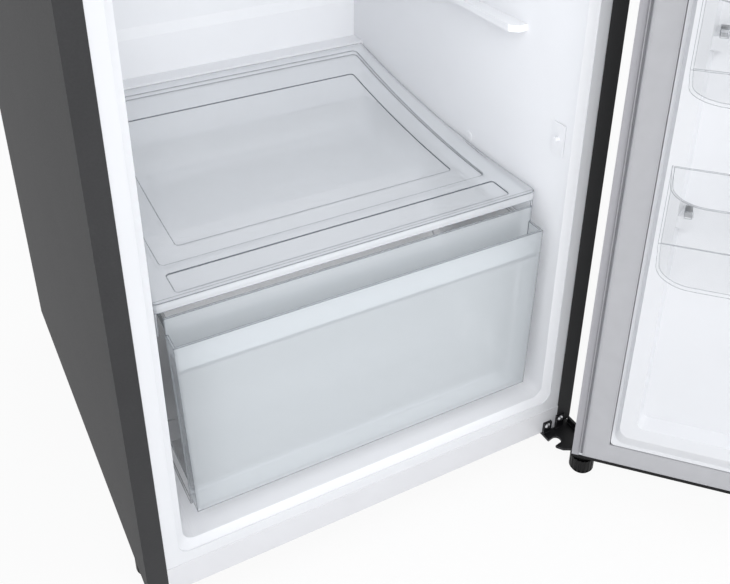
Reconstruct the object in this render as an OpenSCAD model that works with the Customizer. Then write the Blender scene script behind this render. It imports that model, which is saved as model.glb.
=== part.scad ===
// A two-door refrigerator with the freezer on top. The fridge door stands open at rest.
// Millimetres, +Z up, front facing -Y. The origin is on the floor under the middle of the cabinet.

/* [Cabinet] */
// Width of the cabinet
cab_w = 555; // [548:1:580]
// Depth of the cabinet from its front face to its back panel
cab_d = 545; // [540:1:570]
// Height of the cabinet's top above the floor
cab_h = 1500; // [1490:1:1530]
// Thickness of the folded steel sheet
sheet = 0.8; // [0.7:0.1:0.9]
// Width of the steel that folds round to the front
flange_w = 21.7; // [20:0.1:23]
// Width of the steel folded in behind the back panel
return_w = 14; // [12:1:16]
// Height of the side panels' lower edge
skirt_z = 37.4; // [36.6:0.1:38.2]
// Height of the bottom rail's lower edge
rail_z = 32; // [31.6:0.1:32.4]
// Height of the bottom rail
rail_h = 35.2; // [34:0.1:37]
// Depth of the bottom rail's return
rail_deep = 12; // [10:1:14]
// Thickness of the bottom steel plates
plate = 1; // [0.8:0.1:1.2]
// Gap left round the foam
foam_gap = 0.2; // [0.1:0.05:0.3]

/* [Compartments] */
// Thickness of the moulded liners
liner_t = 1.6; // [1.4:0.1:1.8]
// Width of the fridge liner's rim at the sides and top
rim = 15; // [13:0.5:17]
// Height of the fridge liner's rim along the bottom
rim_low = 14.3; // [13:0.1:15]
// Width of the freezer liner's rim at the sides
freezer_rim = 27; // [24:1:30]
// How far each rim reaches behind its neighbour
tuck = 8; // [6:0.5:8]
// How far the liner's walls stand in from its opening
lip = 8; // [7:0.5:9]
// Radius of the compartments' corners
corner_r = 14; // [10:1:18]
// Thickness of the wall behind the fridge compartment
fridge_back = 60; // [56:1:66]
// Thickness of the wall behind the freezer compartment
freezer_back = 75; // [71:1:81]
// Lean of each side wall towards the back
draft = 15.8; // [14:0.2:17]
// Height of the freezer's opening
freezer_open = 358.3; // [340:0.1:370]
// Height of the strip between the two liners' rims
mullion_h = 35; // [32:1:40]
// Forward step of the fridge's lower back wall
back_step = 6; // [4:1:8]
// Height of that step's top above the opening's edge
back_step_z = 394.5; // [385:0.5:400]
// Height over which the step slopes
back_slope = 14; // [11:0.5:16]

/* [Hump] */
// Length of floor behind the start of the hump's rise
rise_start = 335; // [331:1:339]
// Length of floor behind the end of that rise
rise_end = 185; // [181:1:189]
// Rise of the hump above the floor
hump_rise = 185; // [180:1:190]
// Depth of the ledge along the back wall
ledge_deep = 33; // [30:1:34]
// Rise of that ledge above the floor
ledge_rise = 319; // [314:1:324]
// Depth of the machine space at its lower edge
machine_deep = 255; // [251:1:259]
// Depth of the machine space under its ceiling
machine_deep_top = 210; // [206:1:214]
// Height of the machine space above the drain pan
machine_room = 9.7; // [7:0.1:12]

/* [Crisper] */
// Depth of the drawer front's face
front_y = 20; // [18:0.5:22]
// Depth of the drawer front from face to bin
front_deep = 25.5; // [24:0.5:27]
// Gap between the drawer front's top and each wall
front_gap = 16.4; // [15.8:0.1:18.8]
// How far the drawer front narrows on each side to its bottom
front_taper = 5; // [4:0.1:7]
// Height of the drawer front's lower edge above the floor of the compartment
front_z = 21; // [19:0.5:23]
// Height of the drawer front
front_h = 222; // [220:1:224]
// Depth of the grip channel behind the drawer front's top edge
channel_h = 31.5; // [28:0.5:34]
// Rise of that channel's floor towards the bin
channel_rise = 7; // [5:0.5:9]
// Height of the drawer front's flange, which sits against the bin
front_flange = 8; // [7:0.5:9]
// Wall of the clear plastic
clear_t = 2.5; // [2.2:0.1:2.8]
// Gap between the bin and each wall
bin_side = 22.8; // [21.8:0.1:25.8]
// Rim along the bin's sides
bin_rim = 3.5; // [3:0.5:4]
// Gap between the bin's back and the ledge
bin_back_gap = 22; // [16:1:32]
// Height of the bin's bottom above the floor of the compartment
bin_z = 25; // [24:0.5:27]
// Gap between the bin and the hump
bin_gap = 10; // [9:0.5:12]
// Travel of the drawer
bin_travel = 260; // [200:5:280]
// Gap under a piece that slides or rests
seat = 0.3; // [0.3:0.05:0.4]

/* [Crisper cover] */
// Depth of the cover's front
cover_y = 49; // [48:0.5:51]
// Height of the cover's deck above the floor of the compartment
cover_z = 275; // [273:0.5:277]
// Rise of the cover towards the back
cover_rise = 43; // [41:0.5:44]
// How sharply the cover rises: 1 is straight
cover_curve = 1.85; // [1.5:0.05:2.2]
// Depth at which the cover starts to rise
cover_rise_y = 110; // [105:1:115]
// Thickness of the cover
cover_t = 3; // [2.6:0.1:3.4]
// Height of the cover's front lip
cover_lip = 9; // [8:0.5:10]
// Gap between the cover and the walls
cover_gap = 2; // [1.5:0.5:2.5]
// Gap between the cover's skirts and the walls at the front
skirt_gap = 9.8; // [8.8:0.1:10.8]
// Drop of the skirts below the deck
skirt_drop = 37; // [36:0.5:38]
// Length of the skirts
skirt_len = 190; // [170:1:200]
// Inset of the sunk tray in the cover from the walls
tray_in = 35.8; // [33.8:0.1:38.8]
// Depth of the tray's front
tray_y = 110.5; // [108:0.5:113]
// How far the tray is sunk at its front
tray_low = 2.2; // [2:0.1:2.6]
// How far the tray is sunk at its back
tray_low_back = 5.6; // [5:0.1:6]
// Gap between the tray and the recess in front of it
tray_land = 16; // [14:0.5:18]
// Inset of the cover's patterned panel from the walls
panel_in = 62.3; // [60.3:0.1:64.3]
// Depth of the panel's front
panel_y = 141; // [139:0.5:143]
// Distance of the panel's back from the ledge
panel_end = 58; // [54:1:62]
// Depth of a moulded line in the cover
line_t = 1.2; // [1:0.1:1.4]

/* [Shelves] */
// Thickness of the shelf glass
glass_t = 4; // [3.6:0.1:4.4]
// Gap between a shelf and each wall at the front
shelf_gap = 20.8; // [19.8:0.1:23.8]
// Depth of the shelves' front
shelf_y = 104; // [102:1:108]
// Gap behind a shelf
shelf_end = 15; // [13:1:25]
// Heights of the rails for shelves, as parts of the compartment's height
rail_parts = [0.4891, 0.6334, 0.8615];
// Height of a shelf rail
rail_t = 8; // [7:0.5:9]
// Reach of the shelf rails from the walls at the front
rail_reach = 29.8; // [27.8:0.1:31.8]
// Reach of the lowest rails, which carry no shelf
low_rail_reach = 22; // [20:0.5:24]
// Travel of a shelf
shelf_travel = 250; // [200:5:260]

/* [Doors] */
// Thickness of a door without its seal
door_t = 52; // [50:1:54]
// Gap between a door's inner margin and the cabinet
door_gap = 10; // [9.5:0.1:10.5]
// Height of the fridge door's lower edge above the floor
door_z0 = 47; // [46:0.5:48]
// Gap between the two doors
door_split = 8; // [7.5:0.1:8.5]
// Gap between the freezer door and the top hinge
door_top_gap = 3; // [2.6:0.1:3.4]
// Radius of a door's outer edges
door_r = 10; // [8:1:12]
// Width of the steel margin on a door's inner side
margin_w = 8.5; // [8:0.1:9]
// Width of a door seal
seal_w = 32.7; // [31.5:0.1:33.5]
// Width of the seal's thin outer edge
seal_edge = 4; // [3.5:0.1:4.5]
// Inset of a seal's end beside the middle hinge
seal_end = 14.5; // [14:0.5:16]
// Gap between a seal and the cabinet when closed
seal_gap = 0.4; // [0.4:0.05:0.6]
// Width of the land between a seal and the moulded dyke
land_w = 4; // [3.5:0.1:4.5]
// Lean of the dyke's sides
dyke_lean = 3.4; // [3:0.1:4]
// Inset of the dyke's top from a door's lower edge
dyke_low = 68; // [64:1:72]
// Reach of the dyke into the compartment
dyke_y = 10; // [9:0.5:11]
// Width of the dyke's top
dyke_w = 17; // [16:0.5:18]
// Thickness of the black strip of a door's end cap
cap_t = 4; // [3.5:0.1:4.5]
// Depth of an end cap inside its door
cap_plug = 20; // [19:0.5:21]
// Angle at which the fridge door stands open
door_open = 133.2; // [120:0.1:140]
// Width of the grip pocket in an end cap
grip_w = 150; // [130:5:170]
// Depth of the grip pocket
grip_deep = 22; // [20:1:24]

/* [Door bins] */
// Heights of the fridge door's bins, as parts of the door's height
bin_parts = [0.328, 0.514, 0.7293];
// Height of the freezer door's bin above its door's lower edge
freezer_bin_rise = 113.5; // [104:0.5:123]
// Height of a door bin
door_bin_h = 90; // [80:1:94]
// Depth of a door bin
door_bin_d = 74; // [70:1:75]
// Inset of a door bin from its door's edges
door_bin_in = 53; // [52.5:0.1:55.5]
// Inset of the freezer door's bin from the dyke's outline
freezer_bin_in = 55.5; // [53.5:0.5:59.5]
// Radius of a door bin's front corners
door_bin_r = 34; // [32:1:38]
// Height of a bin's hook above its bottom
hook_z = 34; // [30:1:38]
// Lift that frees a bin
bin_lift = 30; // [25:1:35]

/* [Hinges] */
// Inset of the hinge axis from the cabinet's side
hinge_in = 12.5; // [12:0.1:13]
// Distance of the hinge axis in front of the cabinet
hinge_out = 44.5; // [43.5:0.1:45.5]
// Radius of the lower hinge pin
pin_r = 6; // [5.8:0.1:6.2]
// Radius of the other hinge pins
small_pin_r = 5; // [4.8:0.1:5.2]
// Running clearance of a pin or shaft
fit = 0.05; // [0.03:0.01:0.08]
// Reach of a hinge pin into its door
pin_reach = 16; // [14:0.5:17]
// Thickness of the hinge plates
hinge_t = 3; // [2.8:0.1:3.2]
// Radius of a screw's shank
screw_r = 2; // [1.8:0.1:2.2]

/* [Feet and rollers] */
// Radius of a levelling foot
foot_r = 15; // [14:0.5:16]
// Height of a foot's knob
foot_h = 24; // [22:0.5:25]
// Radius of a foot's stud
stud_r = 4; // [3.6:0.1:4.2]
// Inset of the left foot from the cabinet's side
foot_in = 17; // [16:0.5:20]
// Depth of the left foot behind the front
foot_y = 68; // [64:1:72]
// Radius of a rear roller
roller_r = 18; // [17:0.5:19]
// Width of a rear roller
roller_w = 16; // [14:1:18]
// Distance of the rollers' axis from the cabinet's back
roller_back = 40; // [35:1:50]
// Inset of a roller's middle from the cabinet's side
roller_in = 28; // [26:1:32]

/* [Machine space] */
// Radius of the compressor's shell
pot_r = 72; // [66:1:74]
// Height of the compressor's shell
pot_h = 140; // [130:1:142]
// Sideways place of the compressor
pot_x = -60; // [-90:1:-40]
// Distance of the compressor's middle from the cabinet's back
pot_back = 105; // [101:1:109]
// Height of the rubber mounts
mount_h = 14; // [12:0.5:16]
// Height of the compressor's tray above the floor
tray_z = 44; // [43:0.5:45]
// Radius of the refrigerant pipes
pipe_r = 3; // [2.6:0.1:3.4]

/* [Fan and control] */
// Depth of the space for the coil behind the freezer's inner back panel
coil_room = 74; // [70:1:78]
// Radius of the fan
fan_r = 42; // [38:1:44]
// Distance of the fan's middle below the freezer's ceiling
fan_drop = 87.3; // [84:0.1:97.3]
// Radius of the control knob
knob_r = 17; // [15:0.5:19]
// Radius of the knob's shaft
shaft_r = 3; // [2.8:0.1:3.2]
// Radius of the light switch's button
button_r = 3; // [2.6:0.1:3.4]
// Reach of the button from its housing
button_reach = 5.5; // [4.5:0.5:5.5]
// Travel of the light switch's button
button_travel = 4.5; // [3.5:0.5:4.5]

/* [Hidden] */
$fn = 48;
thin = 0.01;

// Widths and heights that follow from the sizes above
half_w = cab_w / 2;
rim_y = sheet + liner_t;
lip_y = sheet + lip;
open_half = half_w - flange_w - rim;
wall_half = open_half - lip;
fridge_d = cab_d - fridge_back;
freezer_d = cab_d - freezer_back;
hump_y0 = fridge_d - rise_start;
hump_y1 = fridge_d - rise_end;
machine_y0 = cab_d - machine_deep;
machine_y1 = cab_d - machine_deep_top;
freezer_half = half_w - flange_w - freezer_rim;
freezer_wall = freezer_half - lip;
open_z0 = rail_z + rail_h + rim_low;
floor_z = open_z0 + lip;
freezer_z1 = cab_h - flange_w - rim;
freezer_z0 = freezer_z1 - freezer_open;
open_z1 = freezer_z0 - 2 * rim - mullion_h;
ceiling_z = open_z1 - lip;
freezer_floor = freezer_z0 + lip;
freezer_ceiling = freezer_z1 - lip;
hump_z = floor_z + hump_rise;
ledge_z = floor_z + ledge_rise;
ledge_y = fridge_d - ledge_deep;
tray_top = tray_z + 2;
pan_z = tray_top + mount_h + pot_h + seat;
pan_h = 20;
machine_z = pan_z + pan_h + machine_room;
machine_top = machine_z + plate;
back_y = cab_d - sheet;
hinge_x = half_w - hinge_in;
door_z1 = (open_z1 + freezer_z0) / 2 - door_split / 2;
freezer_door_z0 = door_z1 + door_split;
freezer_door_z1 = cab_h - door_top_gap;
margin_y = -door_gap;
liner_y = margin_y - sheet;
face_y = -door_gap - door_t;
land_y = -1;
dyke_in = margin_w + seal_w + seat;
dyke_inner = dyke_in + land_w + dyke_lean + dyke_w;
rail_levels = [for (p = rail_parts) p * (ceiling_z - floor_z)];
bin_levels = [for (p = bin_parts) door_z0 + p * (door_z1 - door_z0)];
freezer_bin_level = freezer_door_z0 + freezer_bin_rise;

// Half the fridge compartment's width at a depth
function wall_at(y) = wall_half - draft * (y - lip_y) / (fridge_d - lip_y);
// Half the freezer compartment's width at a depth
function freezer_wall_at(y) = freezer_wall - draft * (y - lip_y) / (freezer_d - lip_y);
// Two points of a step from height za at depth ya to height zb at depth yb, moved out by g
function step_turn(ya, yb, za, zb) = tan(atan2(zb - za, yb - ya) / 2);
function rise(ya, yb, za, zb, g) =
    [[ya - g * step_turn(ya, yb, za, zb), za + g], [yb - g * step_turn(ya, yb, za, zb), zb + g]];
// Height of the cover's top at a depth
function cover_top(y) = floor_z + cover_z
    + (y > cover_rise_y
        ? cover_rise * pow((y - cover_rise_y) / (ledge_y - cover_rise_y), cover_curve) : 0);
cover_steps = 18;
function cover_line(y0, y1, drop) =
    [for (i = [0 : cover_steps]) let (y = y0 + (y1 - y0) * i / cover_steps) [y, cover_top(y) - drop]];
function flip(points) = [for (i = [len(points) - 1 : -1 : 0]) points[i]];
// A band that follows the cover's top, from above it to below it
function cover_band(y0, y1, above, below) =
    concat(cover_line(y0, y1, -above), flip(cover_line(y0, y1, below)));
// The same from above the cover's top to below the sunk tray's floor
function tray_sink(y) = tray_low + (tray_low_back - tray_low) * (y - tray_y) / (tray_back - tray_y);
function tray_band(y0, y1, above, below) = concat(cover_line(y0, y1, -above),
    [for (p = flip(cover_line(y0, y1, below))) [p[0], p[1] - tray_sink(p[0])]]);

module block(x0, x1, y0, y1, z0, z1) {
    translate([x0, y0, z0]) cube([x1 - x0, y1 - y0, z1 - z0]);
}
// Extrudes an outline of depths and heights from x0 to x1
module across(x0, x1, points) {
    translate([x0, 0, 0]) rotate([90, 0, 90]) linear_extrude(x1 - x0) polygon(points);
}
// Both sides of the middle plane
module both() {
    children();
    mirror([1, 0, 0]) children();
}
module rounded(x0, x1, y0, y1, r) {
    translate([x0 + r, y0]) square([x1 - x0 - 2 * r, y1 - y0]);
    translate([x0, y0 + r]) square([x1 - x0, y1 - y0 - 2 * r]);
    for (x = [x0 + r, x1 - r], y = [y0 + r, y1 - r]) translate([x, y]) circle(r, $fn = 32);
}
// The four corners of an upright sheet, its back face at depth y. A hull joins them
module slab(half, z0, z1, y, r, t = thin) {
    for (x = [r - half, half - r], z = [z0 + r, z1 - r])
        translate([x, y, z]) rotate([90, 0, 0]) cylinder(r = r, h = t, $fn = 32);
}
// A rod along X, Y or Z from the point p
module rod_x(p, r, l) { translate(p) rotate([0, 90, 0]) cylinder(r = r, h = l); }
module rod_y(p, r, l) { translate(p) rotate([-90, 0, 0]) cylinder(r = r, h = l); }
module rod_z(p, r, l) { translate(p) cylinder(r = r, h = l); }
// A pipe through a list of points, with ball corners a little wider than the pipe
module pipe(points, r) {
    for (i = [0 : len(points) - 2]) {
        d = points[i + 1] - points[i];
        translate(points[i]) rotate([0, acos(d[2] / norm(d)), atan2(d[1], d[0])])
            cylinder(r = r, h = norm(d));
        if (i > 0) translate(points[i]) sphere(r * 1.15);
    }
}

// Cavity of a compartment: the lip, then walls that lean in. g grows it on every side,
// and with no growth it also clears the opening in the rim
module cavity(half, z0, z1, depth, g) {
    hull() {
        slab(half + g, z0 - g, z1 + g, rim_y + thin, corner_r, g > 0 ? thin : rim_y + 1);
        slab(half - lip + g, z0 + lip - g, z1 - lip + g, lip_y, corner_r);
    }
    hull() {
        slab(half - lip + g, z0 + lip - g, z1 - lip + g, lip_y, corner_r);
        slab(half - lip - draft + g, z0 + lip - g, z1 - lip + g, depth + g, corner_r);
    }
}
// The hump and the ledge on the back wall, as the solid under them. g lowers it
module hump(g) {
    across(-half_w, half_w, concat(
        [[hump_y0 - 60, floor_z - 20]],
        [[hump_y0 - 60, floor_z - g - thin]],
        rise(hump_y0, hump_y1, floor_z, hump_z, -g),
        [[ledge_y + g, hump_z - g], [ledge_y + g, ledge_z - g], [fridge_d - back_step + g, ledge_z - g],
         [fridge_d - back_step + g, open_z0 + back_step_z - back_slope],
         [fridge_d + g, open_z0 + back_step_z], [fridge_d + 10, open_z0 + back_step_z],
         [fridge_d + 10, floor_z - 20]]));
}
module fridge_space(g) {
    difference() {
        cavity(open_half, open_z0, open_z1, fridge_d, g);
        hump(g);
    }
}
rail_half = wall_half - rail_reach;
shelf_half = wall_half - shelf_gap;
shelf_back = fridge_d - shelf_end;
bin_half = wall_half - bin_side;
bin_back = ledge_y - bin_back_gap;
skirt_half = wall_half - skirt_gap;
module switch_place() {
    translate([wall_at(switch_y), switch_y, switch_z]) children();
}
switch_y = 29;
switch_z = floor_z + 352;
switch_w = 19;
switch_h = 37;
button_in = 5;

// Screws: places and directions, shared by the screws and their holes
screw_levels = [for (i = [0 : 4]) machine_top + 25 + i * (cab_h - machine_top - 50) / 4];
module screw_places() {
    both() {
        for (z = screw_levels) translate([half_w - return_w / 2, cab_d, z]) rotate([90, 0, 0]) children();
        for (z = [tray_z + 40, machine_top - 30])
            translate([half_w - return_w / 2, cab_d, z]) rotate([90, 0, 0]) children();
    }
    for (p = lug_screws) translate([p[0], -hinge_t, p[1]]) rotate([-90, 0, 0]) children();
    for (x = mid_screws_x) translate([x, -hinge_t, mid_z + 6.5]) rotate([-90, 0, 0]) children();
    for (x = top_screws_x) translate([x, top_screw_y, cab_h + hinge_t]) rotate([180, 0, 0]) children();
}
screw_len = 8;
lug_screws = [[half_w - 37.5, rail_z + 11], [half_w - 18, door_z0]];
mid_z = (door_z1 + freezer_door_z0) / 2;
mid_x = half_w - 74;
mid_screws_x = [half_w - 62, half_w - 38];
top_screws_x = [half_w - 80, half_w - 55, half_w - 30];
top_screw_y = 40;
module screw_holes() {
    screw_places() translate([0, 0, -thin]) cylinder(r = screw_r + foam_gap / 4, h = screw_len + foam_gap);
}

module cabinet_wrapper() {
    color([0.34, 0.34, 0.345]) difference() {
        union() {
            both() {
                block(half_w - sheet, half_w, 0, back_y, skirt_z, cab_h);
                block(half_w - flange_w, half_w, 0, sheet, skirt_z, cab_h);
                block(half_w - return_w, half_w, back_y - sheet, back_y, skirt_z, cab_h);
            }
            block(-half_w, half_w, 0, back_y, cab_h - sheet, cab_h);
            block(-half_w, half_w, 0, sheet, cab_h - flange_w, cab_h);
            block(-half_w, half_w, back_y - sheet, back_y, cab_h - return_w, cab_h);
        }
        screw_holes();
    }
}
module back_panel() {
    color([0.5, 0.51, 0.52]) difference() {
        block(-half_w + 0.5, half_w - 0.5, back_y, cab_d, machine_top + 6, cab_h - 0.5);
        screw_holes();
    }
}
// The bottom steel: a floor that steps up over the machine space
module base_plate() {
    color([0.6, 0.61, 0.62]) difference() {
        across(-half_w + sheet, half_w - sheet, concat(
            [[rim_y + 0.8, skirt_z]], rise(machine_y0, machine_y1, skirt_z, machine_z, 0),
            [[back_y - sheet, machine_z], [back_y - sheet, machine_top]],
            flip(rise(machine_y0, machine_y1, skirt_z, machine_z, plate)),
            [[rim_y + 0.8, skirt_z + plate]]));
        drain_route(foam_gap);
        rod_z([riser_x, riser_y, machine_z - 5], pipe_r + foam_gap, 12);
    }
}
module front_sill() {
    color([0.3, 0.3, 0.3]) difference() {
        union() {
            block(-half_w + 1.5, half_w - 1.5, sill_y0, sill_y1, rail_z, rail_z + 2.5);
            for (y = [sill_y0, sill_y1 - 2]) block(-half_w + 1.5, half_w - 1.5, y, y + 2, rail_z, skirt_z);
            rod_z([foot_x, foot_y, rail_z], 9, skirt_z - rail_z - 0.6);
        }
        rod_z([foot_x, foot_y, rail_z - 1], stud_r + fit, 10);
    }
}
sill_y0 = rail_deep + 0.5;
sill_y1 = foot_y + 16;
foot_x = -half_w + foot_in;
drain_r = 6;
drain_y = cab_d - 32;
drain_end = machine_z - 4;
inlet_r = 4.5;
inlet_z = freezer_floor + 10;
// The drain's way down behind the fridge compartment, g wider than the tube
module drain_route(g) {
    rod_z([pot_x, drain_y, drain_end], drain_r + g, inlet_z + 9 - drain_end);
    rod_y([pot_x, freezer_d - 1, inlet_z], inlet_r + g, drain_y - freezer_d + 1);
}
module cabinet_foam() {
    g = foam_gap;
    color([0.93, 0.88, 0.7]) difference() {
        union() {
            across(-half_w + sheet + g, half_w - sheet - g, concat(
                [[rim_y + g, skirt_z + plate + g]],
                rise(machine_y0, machine_y1, skirt_z, machine_z, plate + g),
                [[back_y - sheet - g, machine_top + g], [back_y - sheet - g, cab_h - sheet - g],
                 [rim_y + g, cab_h - sheet - g]]));
            block(-half_w + return_w + g, half_w - return_w - g, back_y - return_w, back_y,
                machine_top + g, cab_h - return_w - g);
        }
        fridge_space(liner_t + g);
        cavity(freezer_half, freezer_z0, freezer_z1, freezer_d, liner_t + g);
        drain_route(g);
        rod_z([riser_x, riser_y, machine_z - 5], pipe_r + g, riser_up + 6);
        switch_place() block(-2, 16.5 + g, -switch_body_w / 2 - g, switch_body_w / 2 + g,
            -switch_body_h / 2 - g, switch_body_h / 2 + g);
        screw_holes();
    }
}
switch_body_w = 15;
switch_body_h = 30;
module bottom_rail() {
    color([0.92, 0.92, 0.93]) difference() {
        union() {
            block(-half_w + flange_w, half_w - flange_w, 0, sheet, rail_z, rail_z + rail_h);
            block(-half_w + flange_w, half_w - flange_w, 0, rail_deep, rail_z, rail_z + 1);
        }
        screw_holes();
    }
}
module mullion_strip() {
    color([0.9, 0.9, 0.91]) difference() {
        block(-half_w + flange_w, half_w - flange_w, 0, sheet, open_z1 + rim, freezer_z0 - rim);
        screw_holes();
    }
}
// A liner's rim plate, which reaches behind its neighbours
module rim_plate(z0, z1) {
    block(-half_w + flange_w - tuck, half_w - flange_w + tuck, sheet, rim_y, z0, z1);
}
// Rails on both walls that a shelf rests on, with a stop at the back of each. Their front
// corners are cut off
module shelf_rails(z, reach) {
    inner = wall_half - reach;
    corner = reach * 0.4;
    both() {
        translate([0, 0, z - rail_t]) linear_extrude(rail_t) polygon([[half_w, shelf_y - 6],
            [inner + corner, shelf_y - 6], [inner, shelf_y - 6 + corner], [inner, shelf_back],
            [half_w, shelf_back]]);
        block(rail_half, half_w, shelf_back + 1, shelf_back + 6, z - rail_t, z + rail_t);
    }
}
module fridge_liner() {
    color([0.95, 0.95, 0.96]) difference() {
        union() {
            difference() {
                union() {
                    fridge_space(liner_t);
                    rim_plate(open_z0 - rim_low - tuck, open_z1 + rim + tuck);
                }
                fridge_space(0);
            }
            intersection() {
                union() {
                    shelf_rails(floor_z + rail_levels[0], low_rail_reach);
                    for (i = [1, 2]) shelf_rails(floor_z + rail_levels[i] - seat, rail_reach);
                    both() block(cover_ledge_x, half_w, cover_rise_y, cover_y + skirt_len,
                        cover_ledge_z - 8, cover_ledge_z);
                }
                cavity(open_half, open_z0, open_z1, fridge_d, liner_t / 2);
            }
        }
        switch_place() block(-4, 4, -switch_body_w / 2 - foam_gap, switch_body_w / 2 + foam_gap,
            -switch_body_h / 2 - foam_gap, switch_body_h / 2 + foam_gap);
    }
}
cover_ledge_x = bin_half + bin_rim + 3;
cover_ledge_z = floor_z + cover_z - skirt_drop - seat;
module freezer_liner() {
    color([0.95, 0.95, 0.96]) difference() {
        union() {
            cavity(freezer_half, freezer_z0, freezer_z1, freezer_d, liner_t);
            rim_plate(freezer_z0 - rim - tuck, freezer_z1 + rim + tuck);
        }
        cavity(freezer_half, freezer_z0, freezer_z1, freezer_d, 0);
        drain_route(foam_gap);
    }
}
// The housing under the ceiling that holds the lamp and the temperature control
control_x = 118;
control_y0 = 58;
control_y1 = 200;
control_h = 46;
vent_step = 12;
knob_x = 62;
knob_z = ceiling_z - 25;
lamp_x0 = -70;
lamp_x1 = 10;
module control_housing() {
    z0 = ceiling_z - control_h;
    color([0.93, 0.93, 0.94]) difference() {
        block(-control_x, control_x, control_y0, control_y1, z0, ceiling_z - foam_gap);
        block(-control_x + 2.5, control_x - 2.5, control_y0 + 6, control_y1 - 2.5,
            z0 + 2.5, ceiling_z - 2.5);
        block(lamp_x0, lamp_x1, control_y0 + 30, control_y1 - 30, z0 - 1, z0 + 5);
        rod_y([knob_x, control_y0 - 1, knob_z], shaft_r + fit, 12);
        for (i = [-8 : 8]) block(i * vent_step - 3, i * vent_step + 3, control_y1 - 5, control_y1 + 1,
            z0 + 12, z0 + 34);
    }
}
module lamp_lens() {
    z0 = ceiling_z - control_h;
    color([0.97, 0.97, 0.92, 0.7]) {
        block(lamp_x0 + 0.1, lamp_x1 - 0.1, control_y0 + 30.1, control_y1 - 30.1, z0 - 1.5, z0 + 2.5);
        block(lamp_x0 - 3, lamp_x1 + 3, control_y0 + 27, control_y1 - 27, z0 + 2.5, z0 + 4);
    }
}
module control_knob() {
    color([0.85, 0.86, 0.87]) {
        difference() {
            rod_y([knob_x, control_y0 - 14, knob_z], knob_r, 13.4);
            for (s = [-1, 1]) translate([knob_x + s * (knob_r * 0.72), control_y0 - 15, knob_z])
                block(-knob_r * 0.42, knob_r * 0.42, 0, 7, -knob_r, knob_r);
        }
        rod_y([knob_x, control_y0 - 2, knob_z], shaft_r, 14);
    }
}
// The light switch in the right wall, and its sprung button
module switch_housing() {
    color([0.94, 0.94, 0.95]) switch_place() difference() {
        union() {
            block(-1.6, -0.6, -switch_w / 2, switch_w / 2, -switch_h / 2, switch_h / 2);
            block(-0.8, 14, -switch_body_w / 2, switch_body_w / 2, -switch_body_h / 2, switch_body_h / 2);
        }
        rod_x([-2, 0, 0], button_r + fit, 2 + button_in + button_travel + 0.6);
    }
}
module switch_button() {
    color([0.97, 0.97, 0.98]) switch_place() {
        rod_x([-1.6 - button_reach, 0, 0], button_r, 1.6 + button_reach + button_in);
    }
}
// The freezer's inner back panel, with its fan hole and slots
panel_wall_y = freezer_d - coil_room;
fan_z = freezer_ceiling - freezer_floor - fan_drop;
module freezer_back_panel() {
    half = freezer_wall_at(panel_wall_y + 3) - 0.5;
    step = half / 7;
    color([0.94, 0.94, 0.95]) difference() {
        translate([0, panel_wall_y + 2.5, 0]) rotate([90, 0, 0]) linear_extrude(2.5)
            rounded(-half, half, freezer_floor + seat, freezer_ceiling - seat, corner_r + 1);
        rod_y([0, panel_wall_y - 1, freezer_floor + fan_z], fan_r + 4, 5);
        for (i = [-5 : 5], j = [2, 3]) block(i * step - 10, i * step + 10, panel_wall_y - 1, panel_wall_y + 4,
            freezer_floor + j * step, freezer_floor + j * step + 6);
        fan_posts(2 + fit);
    }
    color([0.94, 0.94, 0.95]) for (a = [30, 150, 270])
        translate([0, panel_wall_y, freezer_floor + fan_z]) rotate([0, a, 0])
            block(5, fan_r + 5, 0, 1.5, -1.5, 1.5);
    color([0.94, 0.94, 0.95]) rod_y([0, panel_wall_y, freezer_floor + fan_z], 8, 1.5);
}
module fan_posts(r) {
    for (s = [-1, 1]) rod_y([s * (fan_r + 12), panel_wall_y - 0.5, freezer_floor + fan_z], r, 34);
}
module fan_motor() {
    color([0.2, 0.2, 0.22]) difference() {
        union() {
            fan_posts(2);
            for (s = [-1, 1]) rod_y([s * (fan_r + 12), panel_wall_y + 2.8, freezer_floor + fan_z], 4, 30);
            block(-fan_r - 16, fan_r + 16, panel_wall_y + 30, panel_wall_y + 33,
                freezer_floor + fan_z - 8, freezer_floor + fan_z + 8);
            rod_y([0, panel_wall_y + 24, freezer_floor + fan_z], 18, 18);
        }
        rod_y([0, panel_wall_y + 20, freezer_floor + fan_z], 2 + fit, 14);
    }
}
module fan_blade() {
    color([0.75, 0.77, 0.8]) translate([0, panel_wall_y + 6, freezer_floor + fan_z]) {
        rod_y([0, 0, 0], 11, 15);
        rod_y([0, 14, 0], 2, 10);
        for (a = [0 : 72 : 359]) rotate([0, a, 0]) translate([9, 7, 0]) rotate([32, 0, 0])
            block(0, fan_r - 10, -0.8, 0.8, -9, 9);
    }
}
coil_rows = 5;
coil_step = 28;
fin_step = 20;
module evaporator() {
    y = freezer_d - 22;
    z0 = freezer_floor + 45;
    w = 7 * fin_step + 10;
    color([0.78, 0.8, 0.82]) {
        for (i = [0 : coil_rows - 1]) rod_x([-w, y, z0 + i * coil_step], 4, 2 * w);
        for (i = [0 : coil_rows - 2])
            rod_z([(i % 2 == 0 ? 1 : -1) * (w - 1.5), y, z0 + i * coil_step], 3.5, coil_step);
        for (i = [-7 : 7]) block(i * fin_step, i * fin_step + 1, y - 12, y + 12,
            z0 - 12, z0 + (coil_rows - 1) * coil_step + 12);
        for (s = [-1, 1]) block(s * (w - 4) - 1, s * (w - 4) + 1, y - 14, freezer_d - seat,
            z0 - 14, z0 + (coil_rows - 1) * coil_step + 14);
    }
}
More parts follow.
